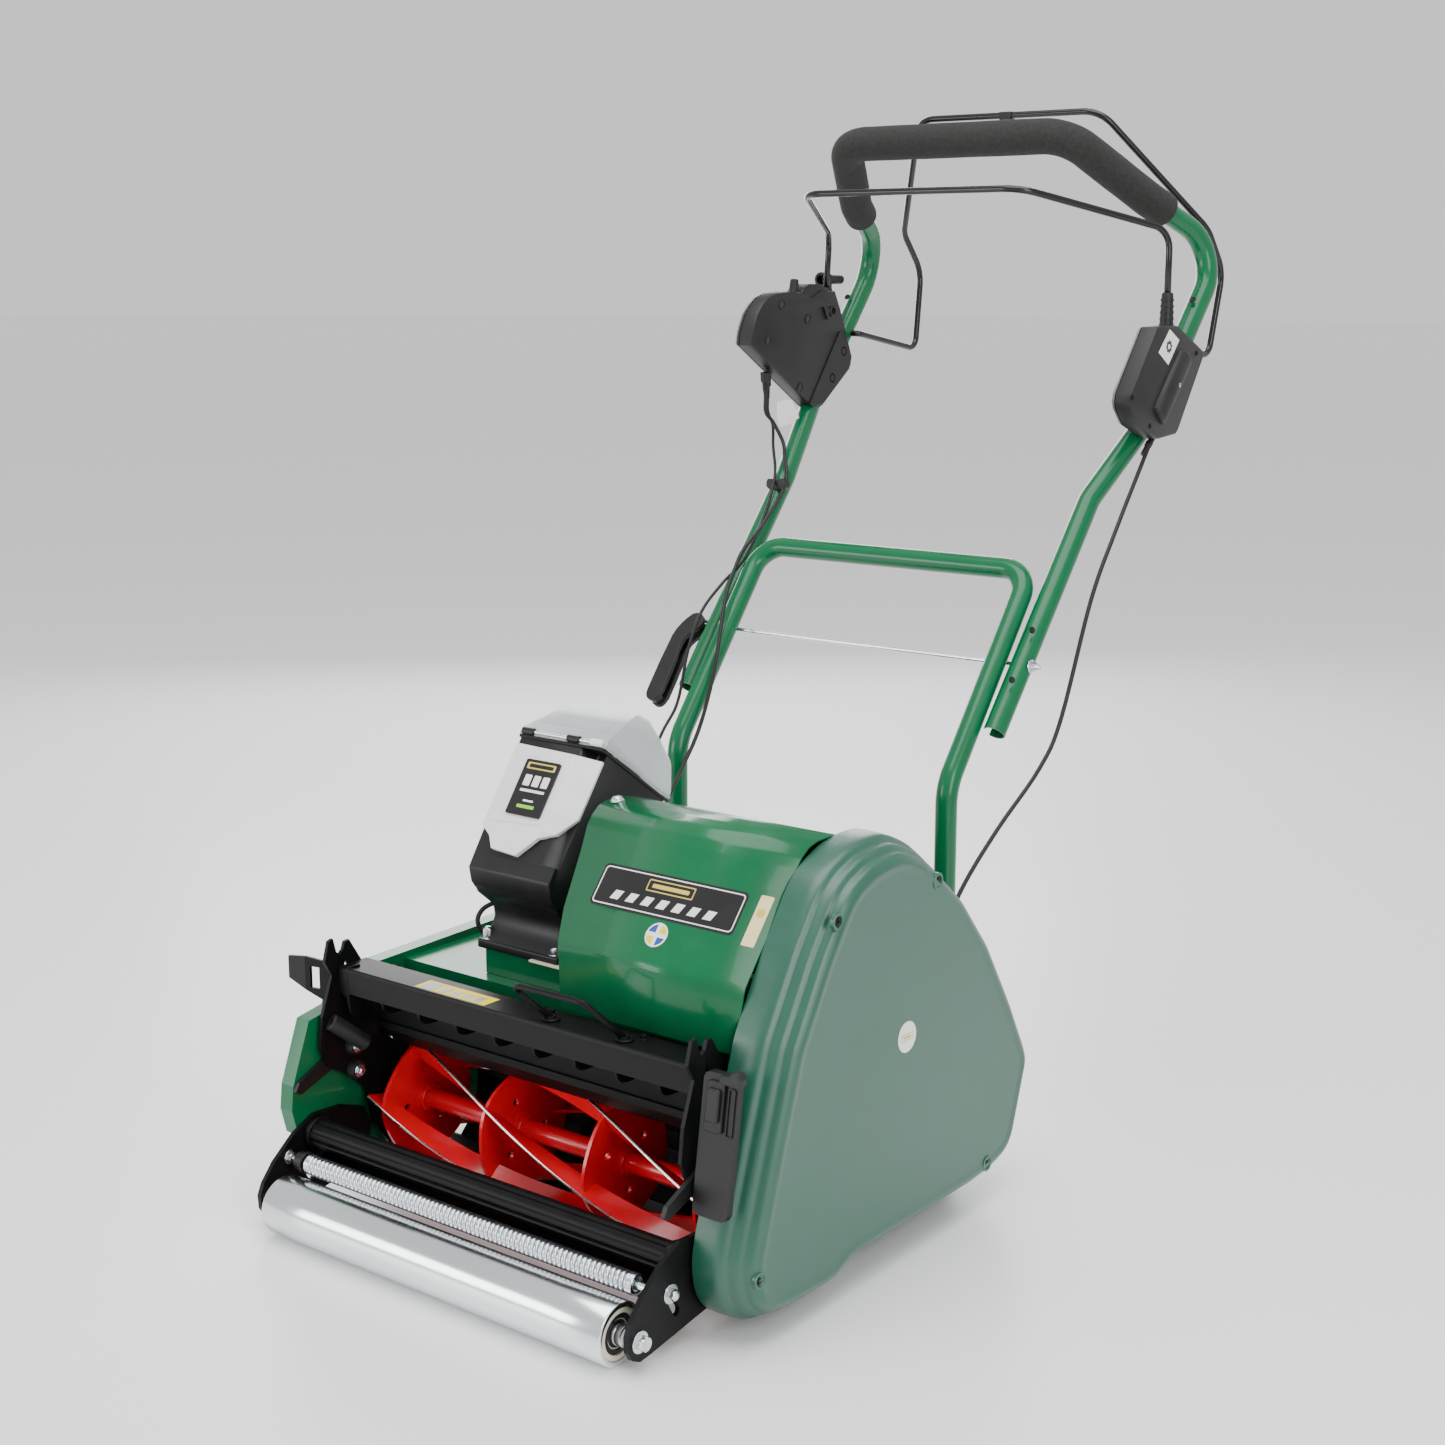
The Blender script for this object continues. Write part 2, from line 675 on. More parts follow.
def housing_mesh():
    """Prism of the housing outline with a rectangular well cut into its rim."""
    obj = prism("battery_housing", "black_plastic", [HOUSING], BAT_X0, BAT_X1, "X")
    well = [tilt(u, v) for u, v in [(8.0, 6.0), (116.0, 6.0), (116.0, -84.0), (8.0, -84.0)]]
    cutter = prism("well_cutter", "black_plastic", [well], BAT_X0 + 7.0, BAT_X1 - 7.0, "X")
    cut(obj, cutter)
    return obj


housing_mesh()

PANEL_X = (BAT_X0 + 2.0, BAT_X0 + 34.0, BAT_X1 - 14.0, BAT_X1 - 1.0)


def battery_panel():
    """Silver front badge panel: flat middle, folded flanks and a pointed lower edge."""
    top, low, tip = -4.0, -84.0, -112.0
    lift = -2.0
    x0, x1, x2, x3 = PANEL_X
    front = [(x0, top, 0.0), (x1, top, lift), (x2, top, lift), (x3, top, 0.0),
             (x3, low + 14.0, 0.0), (x2, low - 6.0, lift), (x1, tip, lift), (x0, low - 12.0, 0.0)]
    verts = []
    for x, v, u in front:
        y, z = tilt(u - 5.0, v)
        verts.append((x, y, z))
    for x, v, u in front:
        y, z = tilt(u - 1.2, v)
        verts.append((x, y, z))
    n = len(front)
    faces = [(0, 1, 6, 7), (1, 2, 5, 6), (2, 3, 4, 5)]
    faces += [tuple(i + n for i in reversed(f)) for f in faces]
    for i in range(n):
        j = (i + 1) % n
        faces.append((i, j, j + n, i + n))
    obj = solid("battery_panel", "silver", verts, faces)
    return obj


battery_panel()

BAT_SLIDE = empty("pack_axis", (0.0,) + tilt(62.0, -40.0))
pack_loop = [tilt(u, v) for u, v in [(12.0, -80.0), (112.0, -80.0), (112.0, -12.0),
                                     (96.0, 2.0), (70.0, 12.0), (50.0, 12.0), (30.0, 2.0),
                                     (12.0, -12.0)]]
prism("battery_pack", "black_plastic", [pack_loop], BAT_X0 + 11.0, BAT_X1 - 11.0, "X", BAT_SLIDE)

HINGE_U, HINGE_V = -1.0, 5.0
LID_HINGE = empty("lid_axis", (0.0,) + tilt(HINGE_U, HINGE_V))


def lid_shell():
    """Clear faceted lid, open below."""
    base = [(2.0, 1.0), (2.0, 10.0), (41.0, 58.0), (62.0, 60.0), (90.0, 50.0), (110.0, 38.0),
            (126.0, 1.0)]
    pull = [0.0, 0.0, 12.0, 12.0, 9.0, 5.0, 0.0]
    x0, x1 = BAT_X0 - 3.0, BAT_X1 + 3.0
    verts = []
    for (u, v), p in zip(base, pull):
        y, z = tilt(u, v)
        verts.append((x0 + p, y, z))
    for (u, v), p in zip(base, pull):
        y, z = tilt(u, v)
        verts.append((x1 - p, y, z))
    n = len(base)
    faces = [(i, i + 1, n + i + 1, n + i) for i in range(n - 1)]
    faces.append((0, 6, 5, 1))
    faces.append((1, 5, 4, 3, 2))
    faces.append((n, n + 1, n + 5, n + 6))
    faces.append((n + 1, n + 2, n + 3, n + 4, n + 5))
    return sheet("battery_lid", "lid", verts, faces, 1.6, 1.0, LID_HINGE)


lid_shell()

# =====================================================================================
# front roller and its brackets
# =====================================================================================
BRACKET = [
    (-205.0, 38.0), (-204.0, 24.0), (-198.0, 15.0), (-188.0, 10.0), (-176.0, 11.0), (-76.0, 26.0),
    (-56.0, 42.0), (-52.0, 68.0), (-62.0, 90.0), (-92.0, 101.0), (-130.0, 103.0), (-158.0, 90.0),
    (-185.0, 68.0), (-200.0, 50.0),
]
SLOT_R = 4.5


def slot_points(p, q, radius, count=6):
    ang = math.atan2(q[1] - p[1], q[0] - p[0])
    out = []
    for i in range(count + 1):
        a = ang + math.pi / 2.0 + math.pi * i / count
        out.append((p[0] + radius * math.cos(a), p[1] + radius * math.sin(a)))
    for i in range(count + 1):
        a = ang - math.pi / 2.0 + math.pi * i / count
        out.append((q[0] + radius * math.cos(a), q[1] + radius * math.sin(a)))
    return out


HOC_Y, HOC_Z = -73.0, 69.0          # pivot of the cutting-height swing
front_swing = empty("height_axis", (0.0, HOC_Y, HOC_Z))
roller_spin = empty("roller_axis", (0.0, ROLLER_Y, ROLLER_Z), front_swing)


def front_bracket(name, sign):
    loops = [BRACKET, slot_points((-150.0, 62.0), (-137.0, 38.0), SLOT_R),
             ring_points(ROLLER_Y, ROLLER_Z, 6.6, 12)]
    return prism(name, "black_paint", loops, sign * BRACKET_IN, sign * BRACKET_OUT, "X",
                 front_swing)


front_bracket("front_bracket_left", -1.0)
front_bracket("front_bracket_right", 1.0)

FLUTES = 9
BAR_Y, BAR_Z, BAR_R = -129.0, 83.0, 15.0


def fluted_bar():
    """Extruded bar with shallow lengthwise grooves."""
    outline = []
    count = FLUTES * 4
    for i in range(count):
        ang = 2.0 * math.pi * i / count
        radius = BAR_R if i % 4 in (0, 1) else BAR_R - 1.4
        outline.append((BAR_Y + radius * math.cos(ang), BAR_Z + radius * math.sin(ang)))
    half = BRACKET_IN - GAP
    return prism("front_cross_bar", "black_paint", [outline], -half, half, "X", front_swing)


fluted_bar()
guard_loop = [(-152.0, 48.0), (-104.0, 62.0), (-104.8, 64.4), (-152.8, 50.4)]
prism("front_guard_plate", "black_paint", [guard_loop], -236.0, 236.0, "X", front_swing)

SCRAPER_Y, SCRAPER_Z = -165.0, 68.0
rod("scraper_rod", "zinc", -239.0, BRACKET_IN - GAP, SCRAPER_Y, SCRAPER_Z, 4.0, 12, front_swing)
pipe("scraper_spring", "zinc", -212.0, 226.0, SCRAPER_Y, SCRAPER_Z, 6.0, 10.5, 16, front_swing)

rod("front_axle", "zinc", -BRACKET_OUT - 6.0, BRACKET_OUT + 6.0, ROLLER_Y, ROLLER_Z, 6.0, 12,
    front_swing)


def front_roller():
    """Smooth tube with inset end plugs, bored for the axle."""
    x1 = ROLLER_HALF
    profile = [
        (-x1 + 9.0, 6.5), (-x1 + 9.0, 25.0), (-x1, 25.0), (-x1, ROLLER_R - 1.5),
        (-x1 + 1.5, ROLLER_R), (x1 - 1.5, ROLLER_R), (x1, ROLLER_R - 1.5), (x1, 25.0),
        (x1 - 9.0, 25.0), (x1 - 9.0, 6.5),
    ]
    return lathe("front_roller", "zinc", profile, ROLLER_Y, ROLLER_Z, 28, roller_spin, True, "X",
                 True)


front_roller()

# =====================================================================================
# cutter cassette
# =====================================================================================
LIFT = empty("cassette_axis", (0.0, REEL_Y, REEL_Z))
CASSETTE_OUTLINE = [
    (-106.0, 283.0), (-100.0, 285.0), (-96.0, 270.0), (-92.0, 266.0), (-87.0, 270.0),
    (-84.0, 278.0), (-78.0, 279.0), (-60.0, 250.0), (-52.0, 245.0), (-9.0, 233.0), (6.0, 207.0),
    (42.0, 150.0), (44.0, 66.0), (26.0, 40.0), (-2.0, 30.0), (-30.0, 38.0), (-52.0, 70.0),
    (-62.0, 112.0), (-84.0, 132.0), (-112.0, 150.0), (-122.0, 172.0), (-118.0, 205.0),
    (-103.0, 246.0), (-112.0, 262.0),
]
NOTCH_WINDOW = [(-88.0, 248.0), (-76.0, 246.0), (-84.0, 259.0)]
ADJUST_HOLE = ring_points(-25.0, 216.0, 4.0, 10)
BEARING_R = 17.0


def cassette_plate(name, sign):
    loops = [CASSETTE_OUTLINE, NOTCH_WINDOW, ADJUST_HOLE,
             ring_points(REEL_Y, REEL_Z, BEARING_R, 20)]
    return prism(name, "black_paint", loops, sign * PLATE_IN, sign * PLATE_OUT, "X", LIFT)


cassette_plate("cassette_plate_left", -1.0)
cassette_plate("cassette_plate_right", 1.0)

BEAM_TOP = [(-96.0, 254.0), (-56.0, 254.0), (-56.0, 251.0), (-93.0, 251.0), (-93.0, 228.0),
            (-96.0, 228.0)]
BEAM_HALF = PLATE_IN - GAP


def cassette_beam():
    """Angle-section beam between the end plates."""
    return prism("cassette_beam", "black_paint", [BEAM_TOP], -BEAM_HALF, BEAM_HALF, "X", LIFT)


cassette_beam()


SHIELD_HALF = 214.0


def cassette_shield():
    """Curved guard from the beam round the back of the reel to the bed knife."""
    arc = []
    for i in range(14):
        ang = math.radians(118.0 - 13.0 * i)
        arc.append((REEL_Y + 84.0 * math.cos(ang), REEL_Z + 84.0 * math.sin(ang)))
    path = [(-72.0, 249.0), (-58.0, 190.0)] + arc
    verts = []
    for y, z in path:
        verts.append((-SHIELD_HALF, y, z))
        verts.append((SHIELD_HALF, y, z))
    faces = [(2 * i, 2 * i + 1, 2 * i + 3, 2 * i + 2) for i in range(len(path) - 1)]
    return sheet("cassette_shield", "black_paint", verts, faces, 2.0, 0.0, LIFT)


cassette_shield()

prism("bed_knife", "steel", [[(REEL_Y - 6.0, 17.0), (44.0, 15.0), (44.0, 18.5), (REEL_Y - 6.0, 19.4)]],
      -BEAM_HALF, BEAM_HALF, "X", LIFT)
prism("bed_bar", "black_paint", [[(14.0, 11.0), (44.0, 9.0), (44.0, 14.3), (14.0, 15.6)]],
      -BEAM_HALF, BEAM_HALF, "X", LIFT)

LATCH_X0, LATCH_X1 = SIDE_OUT + 0.8, 289.0
LATCH_T = 8.0


def latch_cover():
    """Rounded black catch plate that stands in front of the drive cover."""
    loop = []
    for cx, cz, start in ((LATCH_X1 - 6.0, 252.0, 0.0), (LATCH_X0 + 6.0, 252.0, 90.0),
                          (LATCH_X0 + 6.0, 134.0, 180.0), (LATCH_X1 - 6.0, 134.0, 270.0)):
        for k in range(3):
            a = math.radians(start + 45.0 * k)
            loop.append((cx + 6.0 * math.cos(a), cz + 6.0 * math.sin(a)))
    n = len(loop)
    verts = [(x, latch_back(z) - LATCH_T, z) for x, z in loop]
    verts += [(x, latch_back(z), z) for x, z in loop]
    faces = [tuple(range(n)), tuple(i + n for i in reversed(range(n)))]
    faces += [(i, (i + 1) % n, (i + 1) % n + n, i + n) for i in range(n)]
    return solid("latch_cover", "black_plastic", verts, faces, LIFT)


def latch_back(z):
    """Depth of the plate's rear face, leaning back with height."""
    return -112.0 + (z - 128.0) * 0.15


latch_cover()


def flap(name):
    """Bent catch plate with a rectangular window, on the left front corner."""
    verts = []
    rows = [(-242.0, -101.0, 259.0, 214.0), (-270.0, -108.0, 262.0, 226.0),
            (-300.0, -104.0, 256.0, 232.0)]
    for x, y, top, low in rows:
        verts.append((x, y, top))
        verts.append((x, y, low))
    faces = [(0, 1, 3, 2), (2, 3, 5, 4)]
    obj = sheet(name, "black_paint", verts, faces, 3.0, 0.0, LIFT)
    cutter = block("flap_window", "black_paint", (-264.0, -125.0, 229.0), (-253.0, -90.0, 252.0),
                   LIFT)
    cut(obj, cutter)
    return obj


flap("catch_flap")

arch = [(46.0, -80.0, 257.0), (18.0, -108.0, 292.0), (112.0, -108.0, 293.0), (138.0, -80.0, 257.0)]
wire("carry_handle", "black_paint", fillet_path(arch, [8.0, 8.0], 4), 3.2, LIFT, 2)


def lock_lever(name, sign):
    """Flat cassette catch that turns on a bolt in the end plate."""
    pivot = (-76.0, 163.0)
    spin = empty(name + "_axis", (0.0, pivot[0], pivot[1]), LIFT)
    loop = [(-70.0, 152.0), (-64.0, 164.0), (-70.0, 176.0), (-84.0, 176.0), (-94.0, 166.0),
            (-148.0, 142.0), (-153.0, 133.0), (-146.0, 129.0), (-92.0, 148.0), (-82.0, 150.0)]
    x0, x1 = sign * BRACKET_IN, sign * (BRACKET_OUT - 0.2)
    return prism(name, "black_plastic", [loop], min(x0, x1), max(x0, x1), "X", spin)


lock_lever("lock_lever_left", -1.0)
lock_lever("lock_lever_right", 1.0)


def adjuster(name, sign):
    """Upright screw that sets the reel against the bed knife."""
    spin = empty(name + "_axis", (sign * 224.0, -30.0, 160.0), LIFT)
    hexagon = 6
    profile = [(162.0, 0.0), (162.0, 4.0), (186.0, 4.0), (186.0, 7.5), (194.0, 7.5), (194.0, 0.0)]
    return lathe(name, "zinc", profile, sign * 224.0, -30.0, hexagon * 2, spin, False, "Z")


adjuster("adjuster_left", -1.0)
adjuster("adjuster_right", 1.0)

# ---- reel ---------------------------------------------------------------------------
def blade_angle(index, x):
    return REEL_START + index * 2.0 * math.pi / BLADES + REEL_TWIST * x


def reel_blade(index):
    """Helical strip with a rectangular section."""
    stations = 21
    verts = []
    faces = []
    for s in range(stations):
        x = -REEL_HALF + 2.0 * REEL_HALF * s / (stations - 1)
        ang = blade_angle(index, x)
        radial = (math.cos(ang), math.sin(ang))
        across = (-radial[1], radial[0])
        for r, t in ((BLADE_IN, -1.0), (REEL_R, -1.0), (REEL_R, 1.0), (BLADE_IN, 1.0)):
            half = t * BLADE_T / 2.0
            verts.append((x, REEL_Y + r * radial[0] + half * across[0],
                          REEL_Z + r * radial[1] + half * across[1]))
    for s in range(stations - 1):
        for k in range(4):
            m = (k + 1) % 4
            a = 4 * s
            faces.append((a + k, a + m, a + 4 + m, a + 4 + k))
    faces.append((0, 1, 2, 3))
    end = 4 * (stations - 1)
    faces.append((end, end + 3, end + 2, end + 1))
    return solid("reel_blade_%d" % (index + 1), "red", verts, faces, reel_spin, True, 30.0)


DISC_T = 4.0
SHAFT_R = 10.0
HUB_R, HUB_W = 15.0, 7.0


def disc_loops(x):
    """Spider disc outline with a slot for each blade, and its three lightening holes."""
    drift = REEL_TWIST * DISC_T / 2.0
    depth = BLADE_IN - 0.5
    outline = []
    for b in range(BLADES):
        mid = blade_angle(b, x)
        half_in = (BLADE_T / 2.0 + 0.6) / depth + drift
        half_out = (BLADE_T / 2.0 + 0.6) / DISC_R + drift
        outline.append((DISC_R, mid - half_out))
        outline.append((depth, mid - half_in))
        outline.append((depth, mid + half_in))
        outline.append((DISC_R, mid + half_out))
        span = blade_angle(b + 1, x) - mid - 2.0 * half_out
        for k in range(1, 3):
            outline.append((DISC_R, mid + half_out + span * k / 3.0))
    loops = [[(REEL_Y + r * math.cos(a), REEL_Z + r * math.sin(a)) for r, a in outline]]
    for k in range(3):
        a = blade_angle(0, x) + math.radians(36.0 + 120.0 * k)
        loops.append(ring_points(REEL_Y + 30.0 * math.cos(a), REEL_Z + 30.0 * math.sin(a), 4.0, 6))
    return loops


def reel_core():
    """Shaft and the four spider discs welded to it."""
    profile = [(-243.0, 0.0), (-243.0, SHAFT_R)]
    for x in DISC_X:
        profile += [(x - HUB_W, SHAFT_R), (x - HUB_W, HUB_R), (x + HUB_W, HUB_R),
                    (x + HUB_W, SHAFT_R)]
    profile += [(241.0, SHAFT_R), (241.0, 0.0)]
    core = lathe("reel_core", "red", profile, REEL_Y, REEL_Z, 12, reel_spin)
    for number, x in enumerate(DISC_X):
        disc = prism("disc_%d" % (number + 1), "red", disc_loops(x), x - DISC_T / 2.0,
                     x + DISC_T / 2.0, "X", reel_spin)
        join(core, disc)


for b in range(BLADES):
    reel_blade(b)
reel_core()

# =====================================================================================
# handle
# =====================================================================================
LOWER_PATH = [(LOWER_X, 399.0, 162.5), (LOWER_X, 399.0, 412.0), (LOWER_X, 566.0, 628.0)]
ROD_R = 2.5
DRILL_R = 3.2


def rod_drill(name, x0, x1):
    """Cutter for the cross-rod hole through one tube."""
    return lathe(name, "steel", [(x0, 0.0), (x0, DRILL_R), (x1, DRILL_R), (x1, 0.0)],
                 PIVOT_Y, PIVOT_Z, 10)


def lower_handle():
    points = LOWER_PATH + mirror_x(LOWER_PATH)[::-1]
    path = fillet_path(points, [60.0, 34.0, 34.0, 60.0], 5)
    obj = sweep("lower_handle", "green", path, LOWER_R)
    cut(obj, rod_drill("lower_drill_right", LOWER_X - 20.0, LOWER_X + 20.0))
    cut(obj, rod_drill("lower_drill_left", -LOWER_X - 20.0, -LOWER_X + 20.0))


lower_handle()
FOLD = empty("fold_axis", (0.0, PIVOT_Y, PIVOT_Z))
UPPER_X = LOWER_X + LOWER_R + TUBE_R + 1.2
FOAM_START = (211.85, 808.0, 1021.7)
FOAM_CORNER = (150.5, 680.0, 1103.0)
UPPER_PATH = [
    (UPPER_X, 452.0, 466.0), (UPPER_X + 1.0, 646.0, 702.0), (237.5, 737.2, 792.0),
    (242.4, 894.3, 979.2), (202.2, 780.7, 1035.1), FOAM_CORNER,
]
FOAM_R = 20.0
UPPER_RADII = [60.0, 60.0, 51.0, 60.0, 46.0]
ARC_STEPS = 4



def insert_point(route, point):
    """Route with one more point, on the segment that passes nearest to it."""
    def detour(i):
        return (math.dist(route[i], point) + math.dist(point, route[i + 1])
                - math.dist(route[i], route[i + 1]))
    best = min(range(len(route) - 1), key=detour)
    return route[:best + 1] + [point] + route[best + 1:]


UPPER_ROUTE = fillet_path(UPPER_PATH + mirror_x(UPPER_PATH)[::-1],
                          UPPER_RADII + UPPER_RADII[::-1], ARC_STEPS)
UPPER_ROUTE = insert_point(UPPER_ROUTE, FOAM_START)
UPPER_ROUTE = insert_point(UPPER_ROUTE, mirror_x([FOAM_START])[0])
FOAM_FIRST = min(range(len(UPPER_ROUTE) // 2),
                 key=lambda i: sum((UPPER_ROUTE[i][k] - FOAM_START[k]) ** 2 for k in range(3)))
FOAM_LAST = len(UPPER_ROUTE) - FOAM_FIRST

upper = sweep("upper_handle", "green", UPPER_ROUTE, TUBE_R, FOLD)
cut(upper, rod_drill("upper_drill_right", UPPER_X - 20.0, UPPER_X + 20.0))
cut(upper, rod_drill("upper_drill_left", -UPPER_X - 20.0, -UPPER_X + 20.0))
sweep("foam_grip", "foam", UPPER_ROUTE, FOAM_R, FOLD, 10, FOAM_FIRST, FOAM_LAST, TUBE_R + 0.5)

# Quick-release lever.  Its own plane is (p, x): p runs down the upper tube, x outwards.
TUBE_DOWN = (-0.635, -0.772)
CAM_PIN_X = -237.2
CAM_HALF = 10.0                # half the lever's width
FORK_HALF = 4.2                # half the groove that lets the rod pass
PIN_R = 2.0
EYE_R, EYE_HOLE_R, EYE_HALF = 4.0, 2.45, 3.2
CAM_OUTLINE = [
    (-11.5, -240.0), (-9.0, -246.0), (4.0, -256.0), (24.0, -262.0), (100.0, -261.0),
    (111.0, -257.0), (114.0, -249.0), (110.0, -241.0), (100.0, -238.0), (56.0, -240.0),
    (34.0, -243.0), (22.0, -240.0), (14.0, -232.0), (8.0, -227.0), (0.0, -224.9), (-6.5, -228.0),
    (-10.5, -232.5),
]


def lever_frame(p, x, e):
    """Layout position of a point in the lever's plane, e to its side."""
    return (x, PIVOT_Y + TUBE_DOWN[0] * p - TUBE_DOWN[1] * e,
            PIVOT_Z + TUBE_DOWN[1] * p + TUBE_DOWN[0] * e)


def cam_lever():
    """Grooved cam lever, forked at its head, on a pin across the rod's eye."""
    spin = empty("cam_axis", (CAM_PIN_X, PIVOT_Y, PIVOT_Z), FOLD)
    obj = prism("cam_lever", "black_plastic", [CAM_OUTLINE], -CAM_HALF, CAM_HALF, lever_frame,
                spin)
    groove = [(-30.0, -256.0), (104.0, -256.0), (104.0, -215.0), (-30.0, -215.0)]
    cut(obj, prism("cam_groove", "steel", [groove], -FORK_HALF, FORK_HALF, lever_frame, spin))
    pin = ring_points(0.0, CAM_PIN_X, PIN_R, 8)
    join(obj, prism("cam_pin", "steel", [pin], 1.0 - CAM_HALF, CAM_HALF - 1.0, lever_frame, spin))


def cross_rod():
    """Rod that clamps the two handle parts, with an eye for the cam lever's pin."""
    obj = rod("cross_rod", "zinc", CAM_PIN_X + EYE_HOLE_R + 0.6, UPPER_X + 24.0, PIVOT_Y, PIVOT_Z,
              ROD_R, 12, FOLD)
    eye = [ring_points(0.0, CAM_PIN_X, EYE_R, 10), ring_points(0.0, CAM_PIN_X, EYE_HOLE_R, 10)]
    join(obj, prism("rod_eye", "zinc", eye, -EYE_HALF, EYE_HALF, lever_frame, FOLD))


cam_lever()
cross_rod()

# ---- switch boxes -------------------------------------------------------------------
BOX_IN, BOX_OUT = 223.0, 262.0
TUBE_CLEAR = TUBE_R + 0.6
LEFT_BOX = [
    (590.0, 866.0), (597.0, 892.0), (612.0, 914.0), (640.0, 928.0), (700.0, 929.0), (715.0, 922.0),
    (738.0, 932.0), (768.0, 930.0), (792.0, 882.0), (806.0, 850.0), (802.0, 830.0), (742.0, 786.0),
    (722.0, 784.0),
]
RIGHT_BOX = [
    (700.0, 893.0), (752.0, 894.0), (816.0, 866.0), (822.0, 858.0), (764.0, 776.0), (716.0, 768.0),
    (660.0, 787.0), (642.0, 808.0), (642.0, 820.0),
]


def switch_box(name, outline, sign):
    x0, x1 = sign * BOX_IN, sign * BOX_OUT
    obj = prism(name, "black_plastic", [outline], min(x0, x1), max(x0, x1), "X", FOLD)
    count = len(UPPER_ROUTE)
    keep = 4 * (ARC_STEPS + 1)
    first, last = (0, keep) if sign > 0 else (count - keep, count)
    clear = sweep(name + "_bore", "steel", UPPER_ROUTE, TUBE_CLEAR, None, 10, first, last)
    cut(obj, clear)
    return obj


BUTTON_X, BUTTON_Y, BUTTON_Z = -253.0, 805.0, 944.0
BUTTON_R, BUTTON_HALF = 6.0, 17.0
TURRET_R, TURRET_Y0, TURRET_Y1, TURRET_FOOT_Z = 9.4, 776.0, 790.0, 880.0


def button_turret():
    """Post on the left box with a cross bore that guides the lock-off button."""
    outline = [(BUTTON_X - 8.0, TURRET_FOOT_Z), (BUTTON_X + 8.0, TURRET_FOOT_Z)]
    for k in range(9):
        a = math.radians(-30.0 + 30.0 * k)
        outline.append((BUTTON_X + TURRET_R * math.cos(a), BUTTON_Z + TURRET_R * math.sin(a)))
    bore = ring_points(BUTTON_X, BUTTON_Z, BUTTON_R + GAP, 12)
    return prism("button_turret", "black_plastic", [outline, bore], TURRET_Y0, TURRET_Y1, "Y",
                 FOLD)


join(switch_box("switch_box_left", LEFT_BOX, -1.0), button_turret())
join(switch_box("switch_box_right", RIGHT_BOX, 1.0),
     block("bail_post", "black_plastic", (230.0, 758.0, 880.0), (246.0, 778.0, 931.5), FOLD))

button = empty("button_axis", (BUTTON_X, BUTTON_Y, BUTTON_Z), FOLD)
rod_ends = (BUTTON_Y - BUTTON_HALF, BUTTON_Y + BUTTON_HALF)
lathe("lock_off_button", "black_plastic",
      [(rod_ends[0], 0.0), (rod_ends[0], BUTTON_R - 1.0), (rod_ends[0] + 2.0, BUTTON_R),
       (rod_ends[1] - 2.0, BUTTON_R), (rod_ends[1], BUTTON_R - 1.0), (rod_ends[1], 0.0)],
      BUTTON_X, BUTTON_Z, 12, button, False, "Y")

# ---- bails --------------------------------------------------------------------------
BAIL_R = 4.0
PRES_Y, PRES_Z = 768.0, 924.0
PRES_AXIS = empty("presence_axis", (0.0, PRES_Y, PRES_Z), FOLD)
presence = [(238.0, 768.0, 936.0), (236.3, 771.0, 1000.0), (144.7, 590.0, 1043.0)]
wire("presence_bail", "black_paint",
     fillet_path(presence + mirror_x(presence)[::-1], [26.0, 36.0, 36.0, 26.0], 4),
     BAIL_R, PRES_AXIS, 2)

DRIVE_Y, DRIVE_Z = 804.0, 876.0
DRIVE_AXIS = empty("drive_bail_axis", (0.0, DRIVE_Y, DRIVE_Z), FOLD)
drive = [(222.4, 804.0, 876.0), (212.0, 804.0, 876.0), (211.5, 937.0, 853.0), (216.5, 956.0, 954.0),
         (216.0, 912.0, 1003.0), (125.0, 803.0, 1137.5)]
wire("drive_bail", "black_paint",
     fillet_path(drive + mirror_x(drive)[::-1],
                 [6.0, 16.0, 40.0, 50.0, 36.0, 36.0, 50.0, 40.0, 16.0, 6.0], 3),
     BAIL_R, DRIVE_AXIS, 2)

# ---- cables -------------------------------------------------------------------------
CABLE_R = 2.4
CABLE_STEPS = 2
DRIVE_CABLE = [(252.0, 712.0, 764.0), (254.0, 690.0, 742.0), (262.0, 618.0, 674.0),
               (262.0, 566.0, 602.0), (262.0, 507.0, 478.0), (260.0, 466.0, 430.0),
               (252.0, 398.0, 378.0), (243.0, 348.0, 328.0), (238.0, 318.0, 285.0),
               (236.0, 290.0, 240.0), (236.0, 262.0, 218.0), (236.0, 235.0, 213.0)]


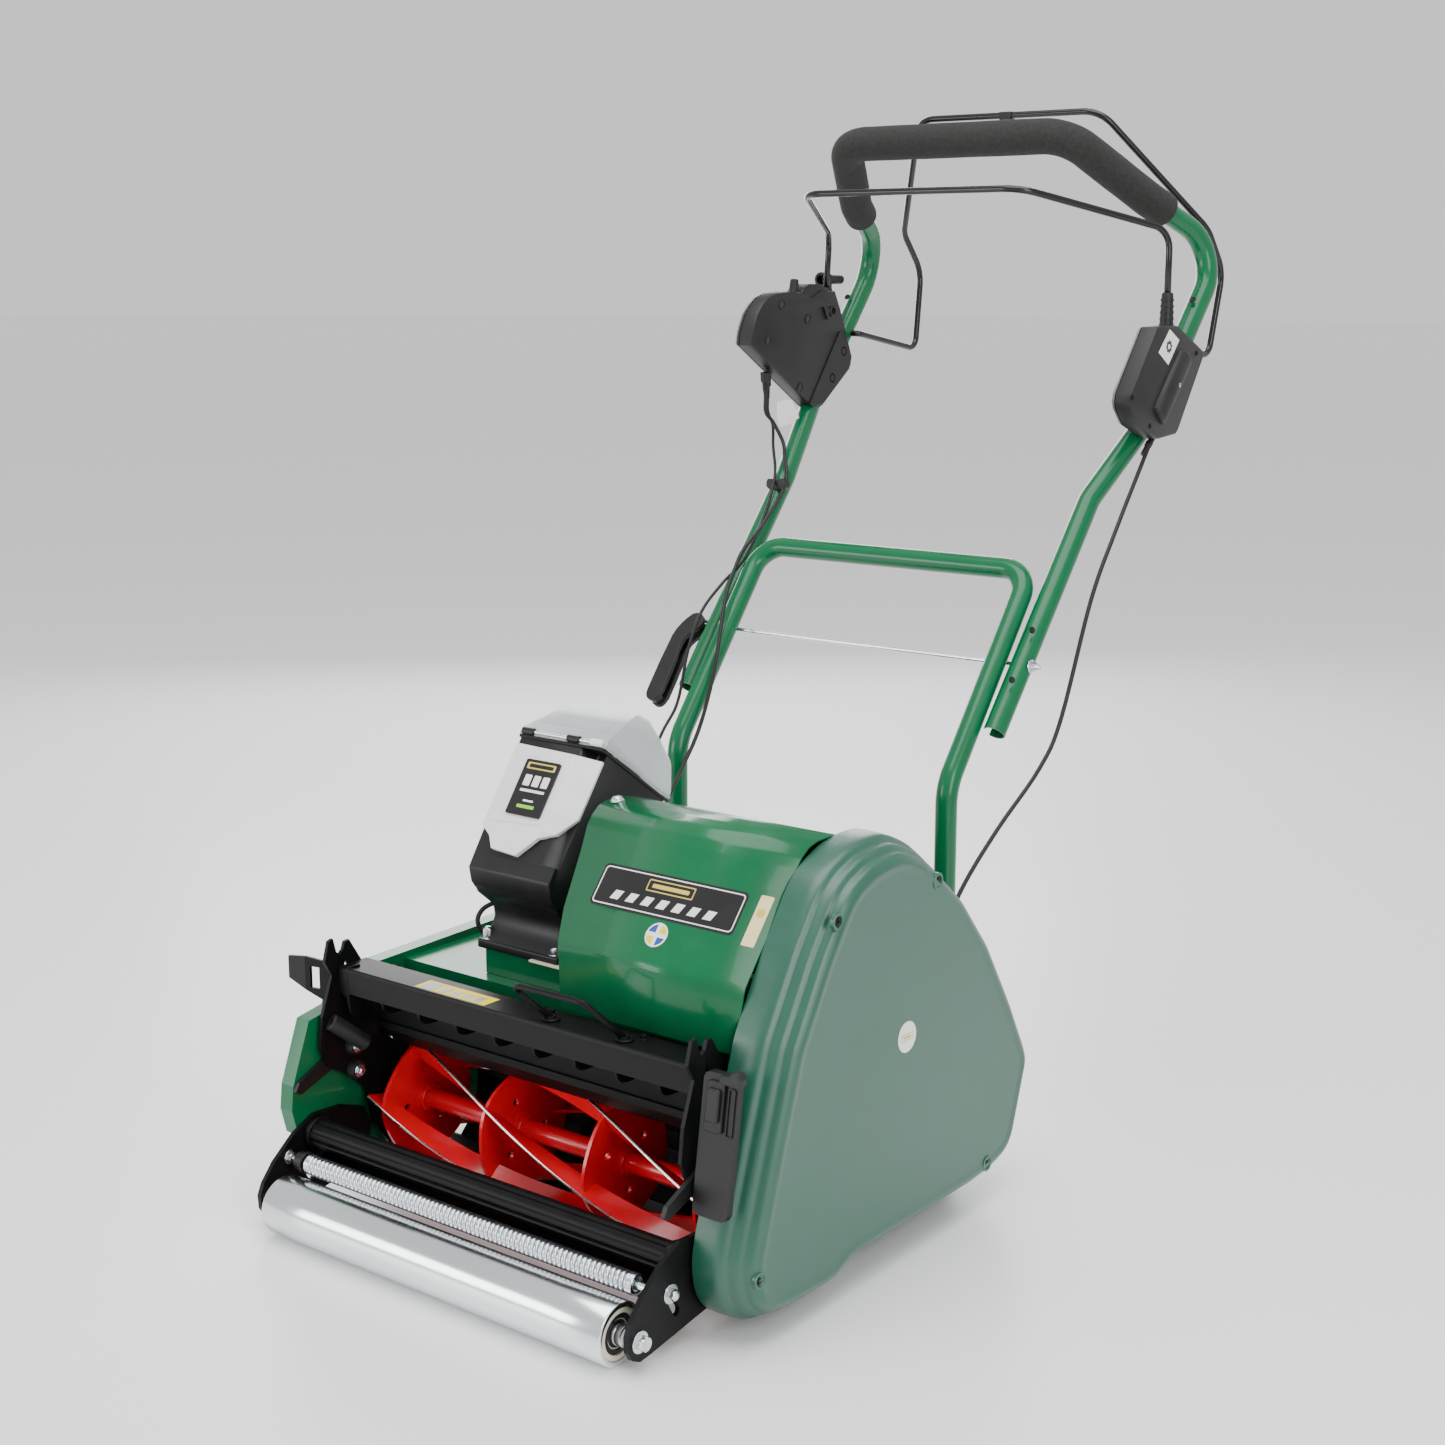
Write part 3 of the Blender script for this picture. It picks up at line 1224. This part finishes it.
def smooth_route(points, steps=5):
    """Catmull-Rom curve through the points."""
    out = []
    n = len(points)
    for i in range(n - 1):
        p0 = points[max(0, i - 1)]
        p1 = points[i]
        p2 = points[i + 1]
        p3 = points[min(n - 1, i + 2)]
        for s in range(steps):
            t = s / steps
            out.append([0.5 * (2.0 * p1[k] + (p2[k] - p0[k]) * t
                               + (2.0 * p0[k] - 5.0 * p1[k] + 4.0 * p2[k] - p3[k]) * t * t
                               + (3.0 * p1[k] - p0[k] - 3.0 * p2[k] + p3[k]) * t ** 3)
                        for k in range(3)])
    out.append(points[-1])
    return out


wire("drive_cable", "rubber", smooth_route(DRIVE_CABLE, CABLE_STEPS), CABLE_R, None, 2)

POWER_CABLE = [(-238.0, 640.0, 783.0), (-234.0, 650.0, 770.0), (-222.0, 655.0, 745.0),
               (-210.0, 642.0, 727.0), (-200.0, 633.0, 709.0), (-196.0, 618.0, 688.0),
               (-195.0, 575.0, 650.0),
               (-196.0, 540.0, 625.0), (-194.0, 520.0, 604.0), (-188.0, 496.0, 578.0),
               (-178.0, 474.0, 548.0), (-168.0, 450.0, 504.0), (-167.0, 432.0, 459.0),
               (-167.0, 410.0, 418.0), (-166.0, 372.0, 374.0), (-160.0, 318.0, 318.0),
               (-150.0, 258.0, 262.0), (-147.0, 222.0, 239.0)]
wire("power_cable", "rubber", smooth_route(POWER_CABLE, CABLE_STEPS), CABLE_R, None, 2)

SWITCH_CABLE = [(-246.0, 655.0, 783.0), (-245.0, 664.0, 765.0), (-236.0, 653.0, 740.0),
                (-215.0, 629.0, 713.0), (-206.0, 611.0, 691.0), (-202.0, 586.0, 656.0),
                (-200.0, 546.0, 612.0), (-203.0, 506.0, 586.0), (-206.0, 470.0, 556.0),
                (-206.0, 444.0, 512.0), (-206.0, 424.0, 453.0), (-206.0, 394.0, 420.0),
                (-200.0, 350.0, 370.0), (-190.0, 300.0, 315.0), (-180.0, 250.0, 262.0),
                (-176.0, 222.0, 239.0)]
SWITCH_CABLE_R = 1.9
wire("switch_cable", "rubber", smooth_route(SWITCH_CABLE, CABLE_STEPS), SWITCH_CABLE_R, None, 2)
